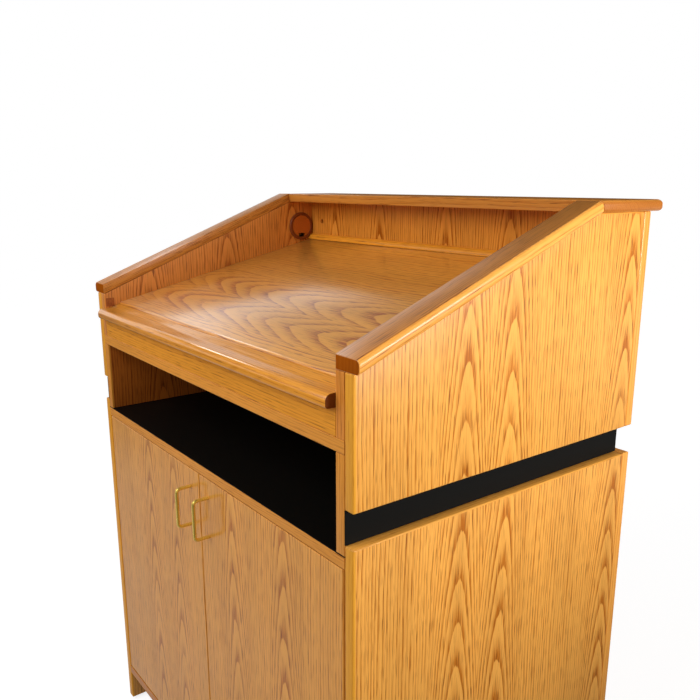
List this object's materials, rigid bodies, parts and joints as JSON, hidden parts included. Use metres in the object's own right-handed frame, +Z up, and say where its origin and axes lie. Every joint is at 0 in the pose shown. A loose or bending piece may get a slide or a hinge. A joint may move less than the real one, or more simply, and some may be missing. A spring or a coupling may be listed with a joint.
{
  "type": "lectern",
  "caption": "Wide oak lectern with a sloped desk between raised capped sides, an open black-lined compartment and a cabinet with hinged doors and brass wire pulls.",
  "frame": {"origin": "on the floor under the centre of the bounding box", "axes": "+Z up, -Y towards the speaker (doors and open compartment), +Y towards the audience, +X to the right as the speaker sees it"},
  "size_m": [0.9384, 0.6671, 1.2192],
  "materials": {
    "oak_panel": "golden oak veneer under clear gloss lacquer",
    "oak_door": "golden oak veneer under clear gloss lacquer",
    "oak_rail": "oak under clear lacquer",
    "oak_cap": "solid oak under clear gloss lacquer",
    "oak_desk": "oak veneer with broad figure under clear lacquer",
    "oak_inner": "oak veneer under clear lacquer",
    "oak_carcass": "plain oak veneer, thin lacquer",
    "black_laminate": "board faced with satin black laminate",
    "brown_plastic": "moulded brown plastic",
    "brass": "polished brass",
    "steel": "plain steel",
    "grey_nylon": "moulded nylon"
  },
  "bodies": {
    "carcass": {"upper_side_panel_left": "oak_panel", "upper_side_panel_right": "oak_panel", "upper_audience_panel": "oak_panel", "lower_side_panel_left": "oak_panel", "lower_side_panel_right": "oak_panel", "lower_audience_panel": "oak_panel", "reveal_band_left": "black_laminate", "reveal_band_right": "black_laminate", "reveal_band_audience": "black_laminate", "side_cap_left": "oak_cap", "side_cap_right": "oak_cap", "top_board": "oak_cap", "desk_side_left": "oak_inner", "desk_side_right": "oak_inner", "desk_board": "oak_desk", "desk_nosing": "oak_cap", "desk_apron": "oak_rail", "desk_back_panel": "oak_inner", "desk_back_bead": "oak_cap", "desk_cleat_left": "oak_carcass", "desk_cleat_right": "oak_carcass", "cable_grommet_ring": "brown_plastic", "cable_grommet_cap": "brown_plastic", "compartment_top": "oak_rail", "compartment_shelf": "black_laminate", "shelf_edge_rail": "oak_rail", "compartment_side_left": "oak_carcass", "compartment_side_right": "oak_carcass", "compartment_back": "black_laminate", "cabinet_side_left": "oak_carcass", "cabinet_side_right": "oak_carcass", "cabinet_bottom": "oak_rail", "cabinet_back": "oak_carcass", "cabinet_shelf": "oak_rail", "shelf_pin_front_left": "steel", "shelf_pin_front_right": "steel", "shelf_pin_back_left": "steel", "shelf_pin_back_right": "steel", "plinth_front": "black_laminate", "plinth_left": "oak_carcass", "plinth_right": "oak_carcass", "glide_front_left": "grey_nylon", "glide_front_right": "grey_nylon", "glide_back_left": "grey_nylon", "glide_back_right": "grey_nylon", "pivot_pin_upper_left": "steel", "pivot_pin_upper_right": "steel", "pivot_pin_lower_left": "steel", "pivot_pin_lower_right": "steel", "door_catch": "grey_nylon"},
    "door_left": {"door_left": "oak_door", "pull_left": "brass", "pivot_bush_left": "brass", "strike_plate_left": "steel"},
    "door_right": {"door_right": "oak_door", "pull_right": "brass", "pivot_bush_right": "brass", "strike_plate_right": "steel"}
  },
  "joints": [
    {"name": "door_left_hinge", "type": "hinge", "parent": "carcass", "child": "door_left", "pos_m": [-0.42795, -0.29637, 0.10105], "axis": [0, 0, -1], "range_deg": [0, 110]},
    {"name": "door_right_hinge", "type": "hinge", "parent": "carcass", "child": "door_right", "pos_m": [0.42795, -0.29637, 0.10105], "axis": [0, 0, 1], "range_deg": [0, 110]}
  ]
}
